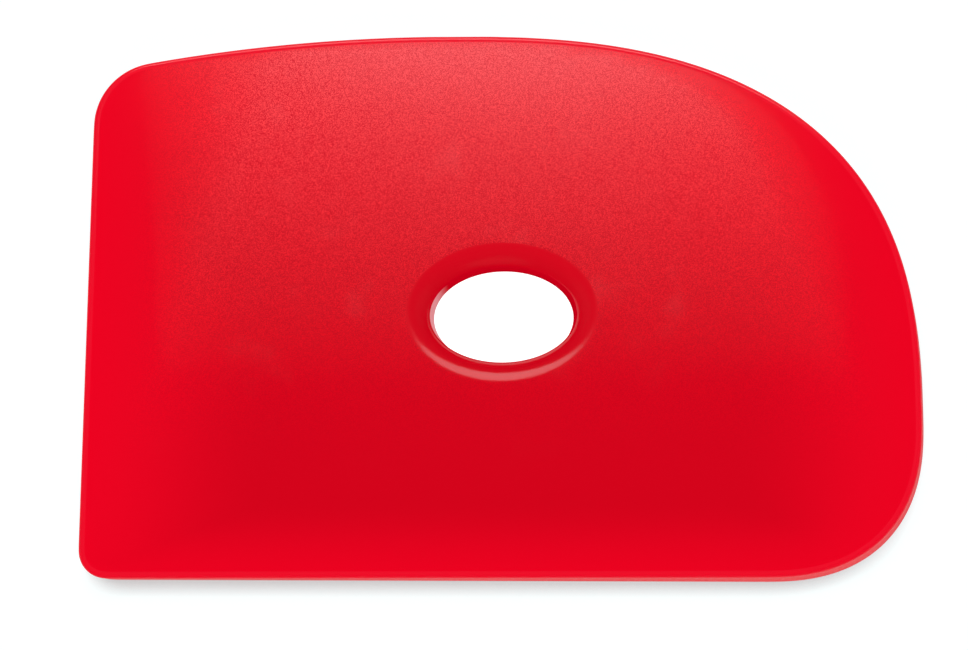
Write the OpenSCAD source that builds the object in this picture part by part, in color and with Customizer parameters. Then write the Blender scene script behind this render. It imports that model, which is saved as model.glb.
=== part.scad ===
// Potter's rib: one flat piece of cast polyurethane with a dished finger hole.
// The back lies on the XY plane and the front, with its softened rim, faces +Z.
// The origin is the middle of the back's bounding rectangle.

/* [Overall size] */
// Length along the straight edge
length = 95.25; // [84:0.25:110]
// Height from the straight edge to the top of the crown
height = 63.5; // [56:0.25:74]
// Thickness of the sheet
thickness = 3.2; // [2.8:0.1:5]

/* [Outline] */
// Corner radius between the straight edge and the square end
heel_r = 3.3; // [2:0.1:6]
// Corner radius between the square end and the crown
shoulder_r = 7.5; // [5:0.1:11]
// Radius of the long shallow crown
crown_r = 197; // [150:1:280]
// Distance from the square end to the highest point of the crown
crown_x = 39.3; // [34:0.1:46]
// Height of the nose's furthest point above the straight edge
nose_y = 18.2; // [14:0.1:26]
// Fullness of the nose, where 2 is an ellipse and more is squarer
nose_fullness = 2.63; // [2:0.01:3.1]
// Distance from the square end to where the straight edge turns up into the toe
toe_x = 77.4; // [68:0.1:82]
// Fullness of the toe, where 2 is an ellipse and more is squarer
toe_fullness = 2.41; // [2:0.01:3.1]

/* [Edges] */
// Width of the softened rim on the front
rim_w = 0.75; // [0.3:0.05:1.5]
// Height that the rim loses before its crisp outer line
rim_drop = 0.3; // [0.1:0.05:0.8]
// Draft of the side wall in degrees, widening towards the back
wall_draft = 1; // [0:0.5:4]

/* [Finger hole] */
// Distance from the square end to the middle of the hole
hole_x = 47.9; // [40:0.1:56]
// Distance from the straight edge to the middle of the hole
hole_y = 30.5; // [26:0.1:38]
// Length of the hole at the foot of its dish
hole_l = 16.8; // [12:0.1:22]
// Height of the hole at the foot of its dish
hole_h = 11.1; // [8:0.1:16]
// Amount that the land narrows the hole's length by, from the dish to the back
land_taper_l = 0.7; // [0:0.05:1.5]
// Amount that the land narrows the hole's height by, from the dish to the back
land_taper_h = 0.1; // [0:0.05:1.5]
// Width of the dished ring round the hole
dish_w = 2.6; // [1.5:0.1:4]
// Depth of the dish at the edge of the hole
dish_drop = 1.5; // [0.8:0.1:2.2]

/* [Hidden] */

// Steps along each round stretch, and across the rim and the dish
heel_steps = 9;
shoulder_steps = 16;
crown_steps = 14;
nose_steps = 56;
toe_steps = 42;
rim_steps = 5;
hole_steps = 96;
dish_steps = 8;
// Length that a cutter runs past the faces that it cuts
overrun = 1;

function unit(a) = [cos(a), sin(a)];

// Point of a round corner where its outward normal points at angle a
function on_circle(centre, r, a) = centre + r * unit(a);

// Point of a superellipse quadrant where its outward normal points at angle a
function on_quadrant(centre, half, fullness, a) =
    let (
        n = unit(a),
        reach = [for (k = [0, 1]) max(half[k] * abs(n[k]), 1e-9)],
        p = fullness / (fullness - 1),
        total = pow(pow(reach[0], p) + pow(reach[1], p), 1 / fullness),
        share = [for (k = [0, 1]) pow(reach[k], 1 / (fullness - 1)) / total]
    )
    [for (k = [0, 1]) centre[k] + sign(n[k]) * half[k] * share[k]];

// The crown's circle peaks at crown_x, and the shoulder's circle touches it and the square end
crown_c = [crown_x, height - crown_r];
shoulder_run = crown_r - shoulder_r;
shoulder_c = [
    shoulder_r,
    crown_c[1] + sqrt(pow(shoulder_run, 2) - pow(crown_x - shoulder_r, 2))
];
shoulder_a = atan2(shoulder_c[1] - crown_c[1], shoulder_c[0] - crown_c[0]);

// Every outline point with its normal's angle, counter-clockwise from the nose's furthest point
outline = [
    for (i = [0:nose_steps - 1])
        let (a = 90 * i / nose_steps)
        [on_quadrant([crown_x, nose_y], [length - crown_x, height - nose_y], nose_fullness, a), a],
    for (i = [0:crown_steps - 1])
        let (a = 90 + (shoulder_a - 90) * i / crown_steps)
        [on_circle(crown_c, crown_r, a), a],
    for (i = [0:shoulder_steps])
        let (a = shoulder_a + (180 - shoulder_a) * i / shoulder_steps)
        [on_circle(shoulder_c, shoulder_r, a), a],
    for (i = [0:heel_steps])
        let (a = 180 + 90 * i / heel_steps)
        [on_circle([heel_r, heel_r], heel_r, a), a],
    for (i = [0:toe_steps - 1])
        let (a = 270 + 90 * i / toe_steps)
        [on_quadrant([toe_x, nose_y], [length - toe_x, nose_y], toe_fullness, a), a]
];

// The outline moved inwards by inset, at height z
function outline_ring(inset, z) =
    [for (o = outline) let (p = o[0] - inset * unit(o[1])) [p[0], p[1], z]];

// The hole's ellipse moved outwards by grow, at height z
function hole_ring(l, h, grow, z) = [
    for (i = [0:hole_steps - 1])
        let (a = 360 * i / hole_steps)
        [hole_x + (l / 2 + grow) * cos(a), hole_y + (h / 2 + grow) * sin(a), z]
];

// An arc that leaves a flat face level and has fallen by drop after the distance run:
// each step gives [distance from the arc's foot, height above it]
function roll(run, drop, steps) =
    let (
        sweep = 2 * atan2(drop, run),
        r = run / sin(sweep)
    )
    [
        for (i = [0:steps])
            let (a = sweep * (1 - i / steps))
            [run - r * sin(a), drop - r * (1 - cos(a))]
    ];

// Closed skin over a stack of rings that all have the same number of points
module skin(rings) {
    count = len(rings[0]);
    last = len(rings) - 1;
    polyhedron(
        points = [for (ring = rings) each ring],
        faces = [
            [for (i = [0:count - 1]) i],
            for (k = [0:last - 1], i = [0:count - 1])
                let (
                    j = (i + 1) % count,
                    low = k * count,
                    high = low + count
                )
                each [[low + i, high + i, low + j], [low + j, high + i, high + j]],
            [for (i = [count - 1:-1:0]) last * count + i]
        ],
        convexity = 4
    );
}

// The sheet: a crisp edge at the back, a drafted wall, and a softened rim at the front
module sheet() {
    wall_h = thickness - rim_drop;
    wall_inset = wall_h * tan(wall_draft);
    skin([
        outline_ring(0, 0),
        for (step = roll(rim_w, rim_drop, rim_steps))
            outline_ring(wall_inset + step[0], wall_h + step[1])
    ]);
}

// The space of the finger hole: its land, and the dish that rolls up to the front
module finger_hole() {
    land_h = thickness - dish_drop;
    back_l = hole_l - land_taper_l;
    back_h = hole_h - land_taper_h;
    skin([
        hole_ring(back_l, back_h, 0, -overrun),
        hole_ring(back_l, back_h, 0, 0),
        for (step = roll(dish_w, dish_drop, dish_steps))
            hole_ring(hole_l, hole_h, step[0], land_h + step[1]),
        hole_ring(hole_l, hole_h, dish_w, thickness + overrun)
    ]);
}

module rib() {
    color("crimson")
    translate([-length / 2, -height / 2, 0])
    difference() {
        sheet();
        finger_hole();
    }
}

rib();
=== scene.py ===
"""Potter's rib: one blade of cast red polyurethane with a dished finger hole, on a white table."""
import math

import bmesh
import bpy
import numpy as np
from mathutils import Matrix, Vector


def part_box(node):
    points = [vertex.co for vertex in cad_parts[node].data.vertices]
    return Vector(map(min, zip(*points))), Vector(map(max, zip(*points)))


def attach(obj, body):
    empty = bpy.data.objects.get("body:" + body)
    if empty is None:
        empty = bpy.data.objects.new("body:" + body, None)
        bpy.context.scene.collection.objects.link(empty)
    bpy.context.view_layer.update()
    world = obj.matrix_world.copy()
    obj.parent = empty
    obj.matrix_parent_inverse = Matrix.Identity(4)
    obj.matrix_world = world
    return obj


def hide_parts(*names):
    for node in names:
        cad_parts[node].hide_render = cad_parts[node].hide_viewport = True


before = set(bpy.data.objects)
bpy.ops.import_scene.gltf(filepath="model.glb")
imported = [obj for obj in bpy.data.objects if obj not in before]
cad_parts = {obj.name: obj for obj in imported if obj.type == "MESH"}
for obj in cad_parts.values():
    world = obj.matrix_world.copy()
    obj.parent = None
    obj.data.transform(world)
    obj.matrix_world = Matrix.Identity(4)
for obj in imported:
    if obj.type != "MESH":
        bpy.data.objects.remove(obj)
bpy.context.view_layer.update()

MM = 0.001
WELD = 0.001 * MM

# The blade, from the frame
BLADE_LOW, BLADE_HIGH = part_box("rib")
THICKNESS = BLADE_HIGH.z - BLADE_LOW.z

# Section of the edge: a drafted wall, then a lip whose crest stands a hair above the face
LIP_W = 0.42 * MM
LIP_DROP = 0.3 * MM
LIP_FOOT_W = 0.33 * MM
LIP_RISE = 0.008 * MM
WALL_DRAFT = math.radians(1)
LIP_STEPS = 10
FACE_Z = BLADE_HIGH.z - LIP_RISE

# Section of the finger hole: its land, and the dish that rolls up to the front
DISH_W = 2.6 * MM
DISH_DROP = 1.5 * MM
LAND_TAPER_L = 0.7 * MM
LAND_TAPER_H = 0.1 * MM
DISH_STEPS = 20
# Steps at the foot of the dish that have the land's finish
MATTE_STEPS = 2

# The back lies off the front: it slips towards the nose, and rises towards the square end
BACK_SLIP = 0.25 * MM
BACK_RAISE = 0.35 * MM
BACK_TRUE_X = 30 * MM

# Length of a step along the outline and the hole, and pitch of the net on the flat faces
EDGE_STEP = 0.4 * MM
FACE_PITCH = 1.25 * MM
SMOOTH_ROUNDS = 4
SHARP_ANGLE = math.radians(25)


# Blade


def back_loops(node):
    """A mesh of the two closed wires that bound the back of a CAD node: its outline and its hole."""
    bm = bmesh.new()
    bm.from_mesh(node.data)
    bmesh.ops.remove_doubles(bm, verts=bm.verts, dist=WELD)
    back = [f for f in bm.faces if all(v.co.z < BLADE_LOW.z + WELD for v in f.verts)]
    away = set(bm.faces).difference(back)
    bmesh.ops.delete(bm, geom=list(away), context="FACES")
    inner = [e for e in bm.edges if not e.is_boundary]
    bmesh.ops.delete(bm, geom=back, context="FACES_ONLY")
    bmesh.ops.delete(bm, geom=inner, context="EDGES")
    return bm


def even_out(bm, step):
    """Splits every edge of a wire into pieces no longer than step, and rounds off its corners."""
    by_cuts = {}
    for edge in bm.edges:
        by_cuts.setdefault(int(edge.calc_length() / step), []).append(edge)
    for cuts, edges in by_cuts.items():
        if cuts:
            bmesh.ops.subdivide_edges(bm, edges=edges, cuts=cuts)
    for _ in range(SMOOTH_ROUNDS):
        bmesh.ops.smooth_vert(bm, verts=bm.verts, factor=0.5, use_axis_x=True, use_axis_y=True)


def chain(edge):
    """The vertices of the closed wire that an edge belongs to, in order."""
    first, vert = edge.verts
    verts = [first]
    while vert is not first:
        verts.append(vert)
        edge = next(e for e in vert.link_edges if e is not edge)
        vert = edge.other_vert(vert)
    return verts


def ring_edges(ring):
    """The edges between neighbours in a ring of vertices."""
    pairs = zip(ring, ring[1:] + ring[:1])
    return [next(e for e in a.link_edges if b in e.verts) for a, b in pairs]


def outward(ring):
    """The flat outward direction at each vertex of a ring."""
    middle = sum((v.co for v in ring), Vector()) / len(ring)
    result = []
    for before, vert, after in zip(ring[-1:] + ring[:-1], ring, ring[1:] + ring[:1]):
        along = after.co - before.co
        side = Vector((along.y, -along.x, 0)).normalized()
        if side.dot(vert.co - middle) < 0:
            side.negate()
        result.append(side)
    return result


def ring_place(ring):
    """The middle of a ring's bounding rectangle, and how far it reaches from there along X and Y."""
    corners = [Vector([pick(v.co[k] for v in ring) for k in (0, 1, 2)]) for pick in (min, max)]
    return sum(corners, Vector()) / 2, (corners[1] - corners[0]) / 2


def raise_ring(bm, ring, places):
    """Extrudes a ring of vertices to new places, and returns the new ring."""
    made = bmesh.ops.extrude_edge_only(bm, edges=ring_edges(ring))["geom"]
    fresh = {v for v in made if isinstance(v, bmesh.types.BMVert)}
    upper = []
    for vert, place in zip(ring, places):
        top = next(e.other_vert(vert) for e in vert.link_edges if e.other_vert(vert) in fresh)
        top.co = place
        upper.append(top)
    return upper


def roll(run, drop, steps):
    """An arc that rises by drop over run and ends level: the (distance in, height) of each step."""
    sweep = 2 * math.atan2(drop, run)
    radius = run / math.sin(sweep)
    angles = [sweep * (1 - i / steps) for i in range(steps + 1)]
    return [(run - radius * math.sin(a), drop - radius * (1 - math.cos(a))) for a in angles]


def lip_section():
    """The lip from its outer line to the face: the (distance in, height) of each step."""
    section = roll(LIP_W, LIP_DROP, LIP_STEPS)
    for i in range(1, LIP_STEPS + 1):
        share = i / LIP_STEPS
        dip = LIP_RISE * (1 - math.cos(math.pi * share)) / 2
        section.append((LIP_W + LIP_FOOT_W * share, LIP_DROP - dip))
    return section


def raise_edge(bm, ring):
    """The side wall and the lip, from the outline up to the face."""
    home = [v.co.copy() for v in ring]
    side = outward(ring)
    wall_h = THICKNESS - LIP_DROP
    wall_in = wall_h * math.tan(WALL_DRAFT)
    rings = [ring]
    for inset, height in lip_section():
        z = BLADE_LOW.z + wall_h + height
        places = [(*(p - s * (wall_in + inset)).xy, z) for p, s in zip(home, side)]
        rings.append(raise_ring(bm, rings[-1], places))
    return rings


def raise_hole(bm, ring):
    """The land and the dish, from the hole's edge at the back up to the front."""
    middle, reach = ring_place(ring)
    unit = [((v.co.x - middle.x) / reach[0], (v.co.y - middle.y) / reach[1]) for v in ring]
    foot = (reach[0] + LAND_TAPER_L / 2, reach[1] + LAND_TAPER_H / 2)
    rings = [ring]
    for grow, height in roll(DISH_W, DISH_DROP, DISH_STEPS):
        z = FACE_Z - DISH_DROP + height
        places = [
            (middle.x + (foot[0] + grow) * u, middle.y + (foot[1] + grow) * v, z) for u, v in unit
        ]
        rings.append(raise_ring(bm, rings[-1], places))
    return rings


def fill_flat(bm, outer, inner, normal):
    """Fills the flat face between two rings: a square net, then triangles round the inner ring."""
    made = bmesh.ops.contextual_create(bm, geom=ring_edges(outer))["faces"]
    geom = outer + ring_edges(outer) + made
    for axis in (0, 1):
        first = math.ceil(BLADE_LOW[axis] / FACE_PITCH)
        last = math.floor(BLADE_HIGH[axis] / FACE_PITCH)
        for k in range(first, last + 1):
            cut = Vector((0, 0, 0))
            cut[axis] = 1
            geom = bmesh.ops.bisect_plane(
                bm, geom=geom, dist=WELD, plane_co=cut * k * FACE_PITCH, plane_no=cut
            )["geom"]
    middle, reach = ring_place(inner)
    margin = 0.5 * FACE_PITCH

    def near_inner(vert):
        off = vert.co - middle
        return math.hypot(off.x / (reach.x + margin), off.y / (reach.y + margin)) < 1

    net = [g for g in geom if isinstance(g, bmesh.types.BMFace)]
    gone = {f for f in net if any(near_inner(v) for v in f.verts)}
    border = [e for f in gone for e in f.edges if any(g not in gone for g in e.link_faces)]
    bmesh.ops.delete(bm, geom=list(gone), context="FACES")
    bmesh.ops.triangle_fill(
        bm, use_beauty=True, edges=border + ring_edges(inner), normal=normal
    )


# The blade's material slots
FACE, LIP, WALL, DISH, LAND = range(5)


def paint(rings, slots):
    """Gives the faces between neighbouring rings their material slots."""
    for low, high, slot in zip(rings, rings[1:], slots):
        high = set(high)
        for vert in low:
            for face in vert.link_faces:
                if any(v in high for v in face.verts):
                    face.material_index = slot


def skew_back(ring):
    """Moves the back a little off the front, so that the side wall widens towards the nose."""
    for vert in ring:
        share = (BACK_TRUE_X - vert.co.x) / (BACK_TRUE_X - BLADE_LOW.x)
        vert.co.y += BACK_RAISE * share
        vert.co.x += BACK_SLIP


def rib_blade():
    """The whole blade, its outline with the sides it faces, and its hole's middle and reach."""
    bm = back_loops(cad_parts["rib"])
    even_out(bm, EDGE_STEP)
    first = chain(next(iter(bm.edges)))
    rest = next(e for e in bm.edges if e.verts[0] not in set(first))
    hole, outline = sorted((first, chain(rest)), key=len)
    edge = [v.co.copy() for v in outline], outward(outline)
    place = ring_place(hole)
    edge_rings = raise_edge(bm, outline)
    hole_rings = raise_hole(bm, hole)
    skew_back(outline)
    fill_flat(bm, edge_rings[0], hole_rings[0], (0, 0, -1))
    fill_flat(bm, edge_rings[-1], hole_rings[-1], (0, 0, 1))
    paint(edge_rings, [WALL] + [LIP] * (len(edge_rings) - 2))
    paint(hole_rings, [LAND] * (1 + MATTE_STEPS) + [DISH] * (DISH_STEPS - MATTE_STEPS))
    bmesh.ops.recalc_face_normals(bm, faces=bm.faces)
    mesh = bpy.data.meshes.new("rib_blade")
    bm.to_mesh(mesh)
    bm.free()
    mesh.shade_smooth()
    mesh.set_sharp_from_angle(angle=SHARP_ANGLE)
    piece = bpy.data.objects.new("rib_blade", mesh)
    bpy.context.scene.collection.objects.link(piece)
    return piece, edge, place


# Finish

# How far the painted glow of the edges reaches in, and how far use has worn the grain away
# and the painted sheen fades out, from the edges that face -X, +X, -Y and +Y.
# The long reach from +Y paints the crown's side of the red lighter, where the softbox falls.
PAINTED_GLOW_REACH = (22 * MM, 22 * MM, 9 * MM, 34 * MM)
WORN_AND_SHEEN_REACH = (22 * MM, 22 * MM, 62 * MM, 1 * MM)


def mark_reach(piece, edge, name, reach):
    """Stores on each vertex how far in from the outline it lies: 0 on it, and 1 past the reach."""
    mesh = piece.data
    points = np.zeros(3 * len(mesh.vertices))
    mesh.vertices.foreach_get("co", points)
    x = points[0::3].copy()
    y = points[1::3].copy()
    west, east, south, north = reach
    share = np.ones(len(x))
    for place, side in zip(*edge):
        reach_x = west if side.x < 0 else east
        reach_y = south if side.y < 0 else north
        local = reach_x * side.x**2 + reach_y * side.y**2
        share = np.minimum(share, np.hypot(x - place.x, y - place.y) / local)
    mesh.attributes.new(name, "FLOAT", "POINT").data.foreach_set("value", share)


class Finish:
    """A node material being put together."""

    def __init__(self, name):
        self.material = bpy.data.materials.new(name)
        self.material.use_nodes = True
        self.nodes = self.material.node_tree.nodes
        self.links = self.material.node_tree.links
        self.nodes.clear()

    def add(self, kind, inputs=None, out=0, **settings):
        """Adds a node and returns one of its outputs. Inputs that are sockets get linked."""
        node = self.nodes.new(kind)
        for key, value in settings.items():
            setattr(node, key, value)
        for key, value in (inputs or {}).items():
            if isinstance(value, bpy.types.NodeSocket):
                self.links.new(value, node.inputs[key])
            else:
                node.inputs[key].default_value = value
        return node.outputs[out]

    def attribute(self, name):
        return self.add("ShaderNodeAttribute", out="Fac", attribute_name=name)

    def ramp(self, value, low, high, to_low=0.0, to_high=1.0, smooth=True):
        """Maps value from low..high to to_low..to_high, and holds the ends."""
        kind = "SMOOTHSTEP" if smooth else "LINEAR"
        ends = {"Value": value, "From Min": low, "From Max": high, "To Min": to_low, "To Max": to_high}
        return self.add("ShaderNodeMapRange", ends, interpolation_type=kind)

    def math(self, operation, a, b):
        return self.add("ShaderNodeMath", {0: a, 1: b}, operation=operation)

    def blend(self, share, a, b, kind="MIX"):
        """Mixes two colours."""
        return self.add(
            "ShaderNodeMix", {0: share, 6: a, 7: b}, out=2, data_type="RGBA", blend_type=kind
        )

    def close(self, shader):
        """Puts the shader on the surface, and returns the material."""
        end = self.nodes.new("ShaderNodeOutputMaterial")
        self.links.new(shader, end.inputs["Surface"])
        return self.material


DEEP_RED = (0.68, 0.0, 0.010, 1)
# Painted light: the red where the edges and the crown's side are painted lighter
PAINTED_LIGHT_RED = (0.87, 0.0, 0.014, 1)
# The side wall's red: paler for its rough cut, and partly painted light from the white table
TRIMMED_AND_LIT_RED = (0.95, 0.055, 0.065, 1)
TORN_RED = (0.95, 0.12, 0.14, 1)
LAND_RED = (0.66, 0.0, 0.012, 1)
# Painted light on the land by the square end, and how it fades out below the dish
LAND_PAINTED_LIGHT = (0.95, 0.42, 0.45, 1)
LAND_LIGHT_FADE = 0.05 * MM

# The grain of the faces: what it takes from the red, and what its specks give back
GRAIN_SCALE = 13000
GRAIN_LOSS = (0.13, 0, 0, 1)
GRIT_GAIN = (0.26, 0, 0, 1)
# Painted sheen: what the pale specks add, more towards the crown
PAINTED_SHEEN_GAIN = (0, 0.066, 0.066, 1)
SMUDGE_GAIN = (0.02, 0.012, 0.012, 1)
RELIEF = 0.01 * MM


def painted_edge_light(mat):
    """The rubber's red, with painted light: deep inside, lighter towards the edges as if lit through
    them, and lighter on the crown's side where the softbox falls.
    """
    glow = mat.ramp(mat.attribute("glow"), 0, 1, 1, 0)
    return mat.blend(glow, DEEP_RED, PAINTED_LIGHT_RED)


def matte_face():
    """The moulded faces: a fine grain, worn smooth towards the working edges, and pale specks that
    paint a sheen, strongest towards the crown.
    """
    mat = Finish("matte_face")
    place = mat.add("ShaderNodeTexCoord", out="Object")
    unworn_and_sheen = mat.attribute("unworn_and_sheen")
    matte = mat.ramp(unworn_and_sheen, 0.15, 0.6)
    painted_sheen_share = mat.ramp(unworn_and_sheen, 0.3, 1, smooth=False)
    speck = mat.add("ShaderNodeTexVoronoi", {"Vector": place, "Scale": GRAIN_SCALE}, out="Color")
    cloud = mat.add("ShaderNodeTexNoise", {"Vector": place, "Scale": 160, "Detail": 3})
    colour = mat.blend(matte, painted_edge_light(mat), GRAIN_LOSS, "SUBTRACT")
    speck = mat.ramp(speck, 0.3, 0.7, smooth=False)
    grit = mat.math("MULTIPLY", speck, matte)
    colour = mat.blend(grit, colour, GRIT_GAIN, "ADD")
    # Painted sheen: pale specks that grow from the worn edges towards the crown
    painted_sheen = mat.math("MULTIPLY", speck, mat.math("MULTIPLY", painted_sheen_share, painted_sheen_share))
    colour = mat.blend(painted_sheen, colour, PAINTED_SHEEN_GAIN, "ADD")
    smudge = mat.ramp(cloud, 0.58, 0.85)
    colour = mat.blend(mat.math("MULTIPLY", smudge, matte), colour, SMUDGE_GAIN, "ADD")
    bump = mat.add("ShaderNodeBump", {"Height": grit, "Strength": 0.2, "Distance": RELIEF})
    rough = mat.ramp(unworn_and_sheen, 0, 0.5, 0.08, 0.12, smooth=False)
    surface = mat.add(
        "ShaderNodeBsdfPrincipled",
        {"Base Color": colour, "Roughness": rough, "Specular IOR Level": 0.33, "Normal": bump},
    )
    return mat.close(surface)


def smooth_roll(name, painted_light_shift, grain, rough, shine):
    """The rolled lip and the dish: the same rubber, with the grain only in its relief. The colour
    added to the red is painted light: a painted highlight on the lip, painted shade in the dish.
    """
    mat = Finish(name)
    place = mat.add("ShaderNodeTexCoord", out="Object")
    ripple = mat.add("ShaderNodeTexNoise", {"Vector": place, "Scale": grain, "Detail": 2})
    bump = mat.add("ShaderNodeBump", {"Height": ripple, "Strength": 0.4, "Distance": RELIEF})
    surface = mat.add(
        "ShaderNodeBsdfPrincipled",
        {
            "Base Color": mat.blend(1.0, painted_edge_light(mat), painted_light_shift, "ADD"),
            "Roughness": rough,
            "Specular IOR Level": shine,
            "Normal": bump,
        },
    )
    return mat.close(surface)


def torn_land(hole):
    """The land of the hole and the foot of the dish. The land turns pale by the square end: painted
    light, as if lit by the white table.
    """
    mat = Finish("torn_land")
    middle, reach = hole
    place = mat.add("ShaderNodeTexCoord", out="Object")
    x = mat.add("ShaderNodeSeparateXYZ", {0: place})
    z = mat.add("ShaderNodeSeparateXYZ", {0: place}, out="Z")
    out = mat.math("SUBTRACT", middle.x, x)
    land_top = FACE_Z - DISH_DROP
    below_dish = mat.ramp(z, land_top - LAND_LIGHT_FADE, land_top, 1, 0)
    pale = mat.math("MULTIPLY", mat.ramp(out, 0.78 * reach.x, 1.0 * reach.x), below_dish)
    colour = mat.blend(pale, LAND_RED, LAND_PAINTED_LIGHT)
    surface = mat.add(
        "ShaderNodeBsdfPrincipled",
        {"Base Color": colour, "Roughness": 0.6, "Specular IOR Level": 0.0},
    )
    return mat.close(surface)


def trimmed_wall():
    """The side wall: rougher than the faces, and paler, partly for its rough cut and partly as painted
    light from the white table it faces.
    """
    mat = Finish("trimmed_wall")
    place = mat.add("ShaderNodeTexCoord", out="Object")
    tear = mat.add("ShaderNodeTexNoise", {"Vector": place, "Scale": 2500, "Detail": 3})
    colour = mat.blend(mat.ramp(tear, 0.45, 0.75), TRIMMED_AND_LIT_RED, TORN_RED)
    bump = mat.add("ShaderNodeBump", {"Height": tear, "Strength": 0.6, "Distance": 0.04 * MM})
    surface = mat.add(
        "ShaderNodeBsdfPrincipled",
        {"Base Color": colour, "Roughness": 0.6, "Specular IOR Level": 0.25, "Normal": bump},
    )
    return mat.close(surface)


# Table and light

FLOOR_SIZE = 4.0
FLOOR_GAP = 0.02 * MM
FLOOR_GLOW = 0.74
# The paper's colour as the lamps light it: bluer than white, so the red light the blade throws on it
# doesn't show in the shade
FLOOR_SHADE = (0.27, 0.40, 0.40, 1)
CONTACT_GLOW = 0.16
CONTACT_REACH = 3 * MM


def white_table(hole):
    """A large white sheet under the blade. The camera sees it white, with a painted shade
    beside the blade, and without any shade through the hole, whose middle and reach are given."""
    bm = bmesh.new()
    under = Matrix.Translation((0, 0, -FLOOR_GAP))
    bmesh.ops.create_grid(bm, x_segments=1, y_segments=1, size=FLOOR_SIZE / 2, matrix=under)
    mesh = bpy.data.meshes.new("table")
    bm.to_mesh(mesh)
    bm.free()
    table = bpy.data.objects.new("table", mesh)
    bpy.context.scene.collection.objects.link(table)
    mat = Finish("white_table")
    place = mat.add("ShaderNodeTexCoord", out="Object")
    middle, reach = hole
    centred = mat.add("ShaderNodeVectorMath", {0: place, 1: middle}, operation="SUBTRACT")
    shape = (1 / reach[0], 1 / reach[1], 0)
    round_hole = mat.add("ShaderNodeVectorMath", {0: centred, 1: shape}, operation="MULTIPLY")
    off = mat.add("ShaderNodeVectorMath", {0: round_hole}, out="Value", operation="LENGTH")
    tilt = mat.add("ShaderNodeCombineXYZ", {0: 0, 1: 0.87, 2: 0.5})
    open_sky = mat.add(
        "ShaderNodeAmbientOcclusion", {"Distance": CONTACT_REACH, "Normal": tilt}, out="AO"
    )
    shade = mat.ramp(open_sky, 0.1, 0.6, CONTACT_GLOW, FLOOR_GLOW, smooth=False)
    glow = mat.math("MAXIMUM", shade, mat.ramp(off, 1.0, 1.2, 1.0, 0.0))
    seen = mat.add("ShaderNodeLightPath", out="Is Camera Ray")
    paper = mat.add("ShaderNodeBsdfDiffuse", {"Color": (0.86, 0.86, 0.86, 1)})
    dim_paper = mat.add("ShaderNodeBsdfDiffuse", {"Color": FLOOR_SHADE})
    shine = mat.add("ShaderNodeEmission", {"Color": (1, 1, 1, 1), "Strength": glow})
    both = mat.add("ShaderNodeAddShader", {0: dim_paper, 1: shine})
    mesh.materials.append(mat.close(mat.add("ShaderNodeMixShader", {0: seen, 1: paper, 2: both})))


def softbox(name, lean, distance, size, radiance, shines=True):
    """An oval lamp of a given radiance that faces the blade, with its size across and along
    its lean. The lean towards +X and +Y from straight up is in degrees."""
    towards = Vector([math.tan(math.radians(a)) for a in lean] + [1]).normalized()
    lamp = bpy.data.lights.new(name, "AREA")
    lamp.shape = "ELLIPSE"
    lamp.size, lamp.size_y = size
    lamp.energy = radiance * math.pi * math.pi * size[0] * size[1] / 4
    holder = bpy.data.objects.new(name, lamp)
    holder.location = towards * distance
    holder.rotation_euler = towards.to_track_quat("Z", "Y").to_euler()
    holder.visible_glossy = shines
    bpy.context.scene.collection.objects.link(holder)


SKY_LIGHT = 0.585


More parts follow.
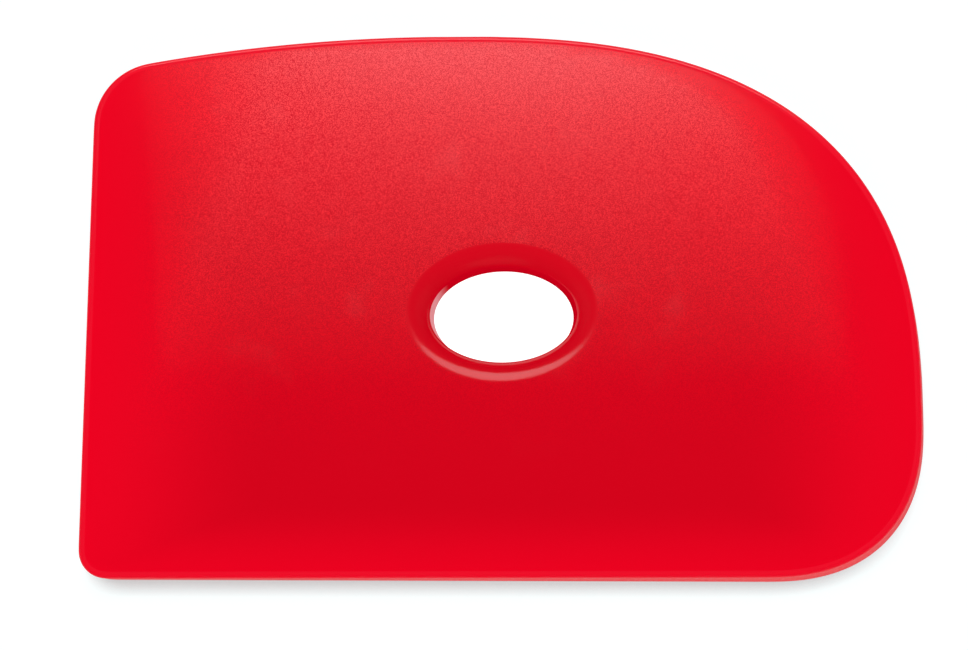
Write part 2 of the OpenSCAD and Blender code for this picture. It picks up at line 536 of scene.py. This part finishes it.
def light():
    """A softbox behind the crown, weak ones at the sides and in front, and an even white room.
    Only the softbox behind the crown shines in the blade."""
    softbox("key", (-3.9, 36.2), 1.0, (0.56, 0.66), 3.3)
    softbox("side_left", (-58, 8), 1.2, (1.2, 1.2), 0.5, shines=False)
    softbox("side_right", (58, 8), 1.2, (1.2, 1.2), 0.5, shines=False)
    softbox("front", (0, -66), 1.2, (0.8, 0.8), 2.2, shines=False)
    world = bpy.data.worlds.new("studio")
    bpy.context.scene.world = world
    world.use_nodes = True
    world.cycles.sampling_method = "NONE"
    tree = world.node_tree
    tree.nodes.clear()
    path = tree.nodes.new("ShaderNodeLightPath")
    sky = tree.nodes.new("ShaderNodeMath")
    sky.operation = "MULTIPLY_ADD"
    sky.inputs[1].default_value = SKY_LIGHT
    tree.links.new(path.outputs["Is Diffuse Ray"], sky.inputs[0])
    tree.links.new(path.outputs["Is Camera Ray"], sky.inputs[2])
    room = tree.nodes.new("ShaderNodeBackground")
    room.inputs["Color"].default_value = (1, 1, 1, 1)
    tree.links.new(sky.outputs[0], room.inputs["Strength"])
    out = tree.nodes.new("ShaderNodeOutputWorld")
    tree.links.new(room.outputs[0], out.inputs[0])


# Camera

CAMERA_LENS = 120.0
CAMERA_SENSOR = 36
CAMERA_NEAR = 10 * MM
CAMERA_DISTANCE = 370.43 * MM
CAMERA_AIM = Vector((-1.985 * MM, -2.034 * MM, 0))
CAMERA_TILT = math.radians(12.5)
CAMERA_SWING = math.radians(4.209)
CAMERA_ROLL = math.radians(0.527)


def camera():
    """Looks down on the front, a little from the straight edge and the nose."""
    back = Vector((
        math.sin(CAMERA_SWING),
        -math.sin(CAMERA_TILT) * math.cos(CAMERA_SWING),
        math.cos(CAMERA_TILT) * math.cos(CAMERA_SWING),
    ))
    right = Vector((0, 1, 0)).cross(back).normalized()
    up = back.cross(right)
    turn = Matrix((right, up, back)).transposed() @ Matrix.Rotation(CAMERA_ROLL, 3, "Z")
    holder = bpy.data.objects.new("camera", bpy.data.cameras.new("camera"))
    holder.data.lens = CAMERA_LENS
    holder.data.sensor_width = CAMERA_SENSOR
    holder.data.clip_start = CAMERA_NEAR
    holder.matrix_world = Matrix.Translation(CAMERA_AIM + back * CAMERA_DISTANCE) @ turn.to_4x4()
    bpy.context.scene.collection.objects.link(holder)
    bpy.context.scene.camera = holder


blade, blade_edge, hole_place = rib_blade()
# The painted glow of the edges and crown, then the wear of the grain and its painted sheen
mark_reach(blade, blade_edge, "glow", PAINTED_GLOW_REACH)
mark_reach(blade, blade_edge, "unworn_and_sheen", WORN_AND_SHEEN_REACH)
for finish in (
    matte_face(),
    # Lighter red on the lip: a painted highlight
    smooth_roll("smooth_lip", (0.03, 0.002, 0.006, 1), 900, 0.13, 0.4),
    trimmed_wall(),
    # Darker red in the dish: painted shade
    smooth_roll("dish", (-0.05, 0, -0.006, 1), 7000, 0.15, 0.4),
    torn_land(hole_place),
):
    blade.data.materials.append(finish)
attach(blade, "root")
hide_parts("rib")

white_table(hole_place)
light()
camera()
bpy.context.scene.view_settings.view_transform = "Standard"
